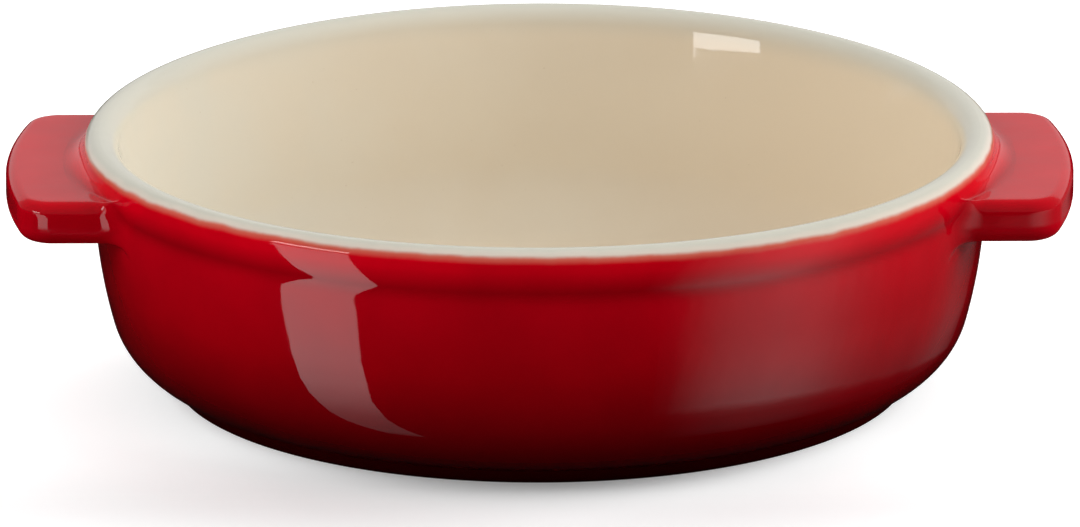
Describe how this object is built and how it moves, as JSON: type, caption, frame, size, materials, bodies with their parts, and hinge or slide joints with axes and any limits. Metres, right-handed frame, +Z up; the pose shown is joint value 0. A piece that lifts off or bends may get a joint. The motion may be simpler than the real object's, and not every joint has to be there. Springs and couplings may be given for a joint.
{
  "type": "tapas dish",
  "caption": "Low round glazed stoneware dish with a rolled rim, a soft hollow under it, flat lug handles on opposite sides and a shallow foot ring, for serving small dishes.",
  "frame": {"origin": "on the table, under the middle of the dish", "axes": "+Z up along the bowl's axis, X through both handles, Y across"},
  "size_m": [0.1642, 0.14, 0.0404],
  "materials": {
    "glaze": "glossy"
  },
  "bodies": {
    "root": {"dish": "glaze"}
  },
  "joints": []
}
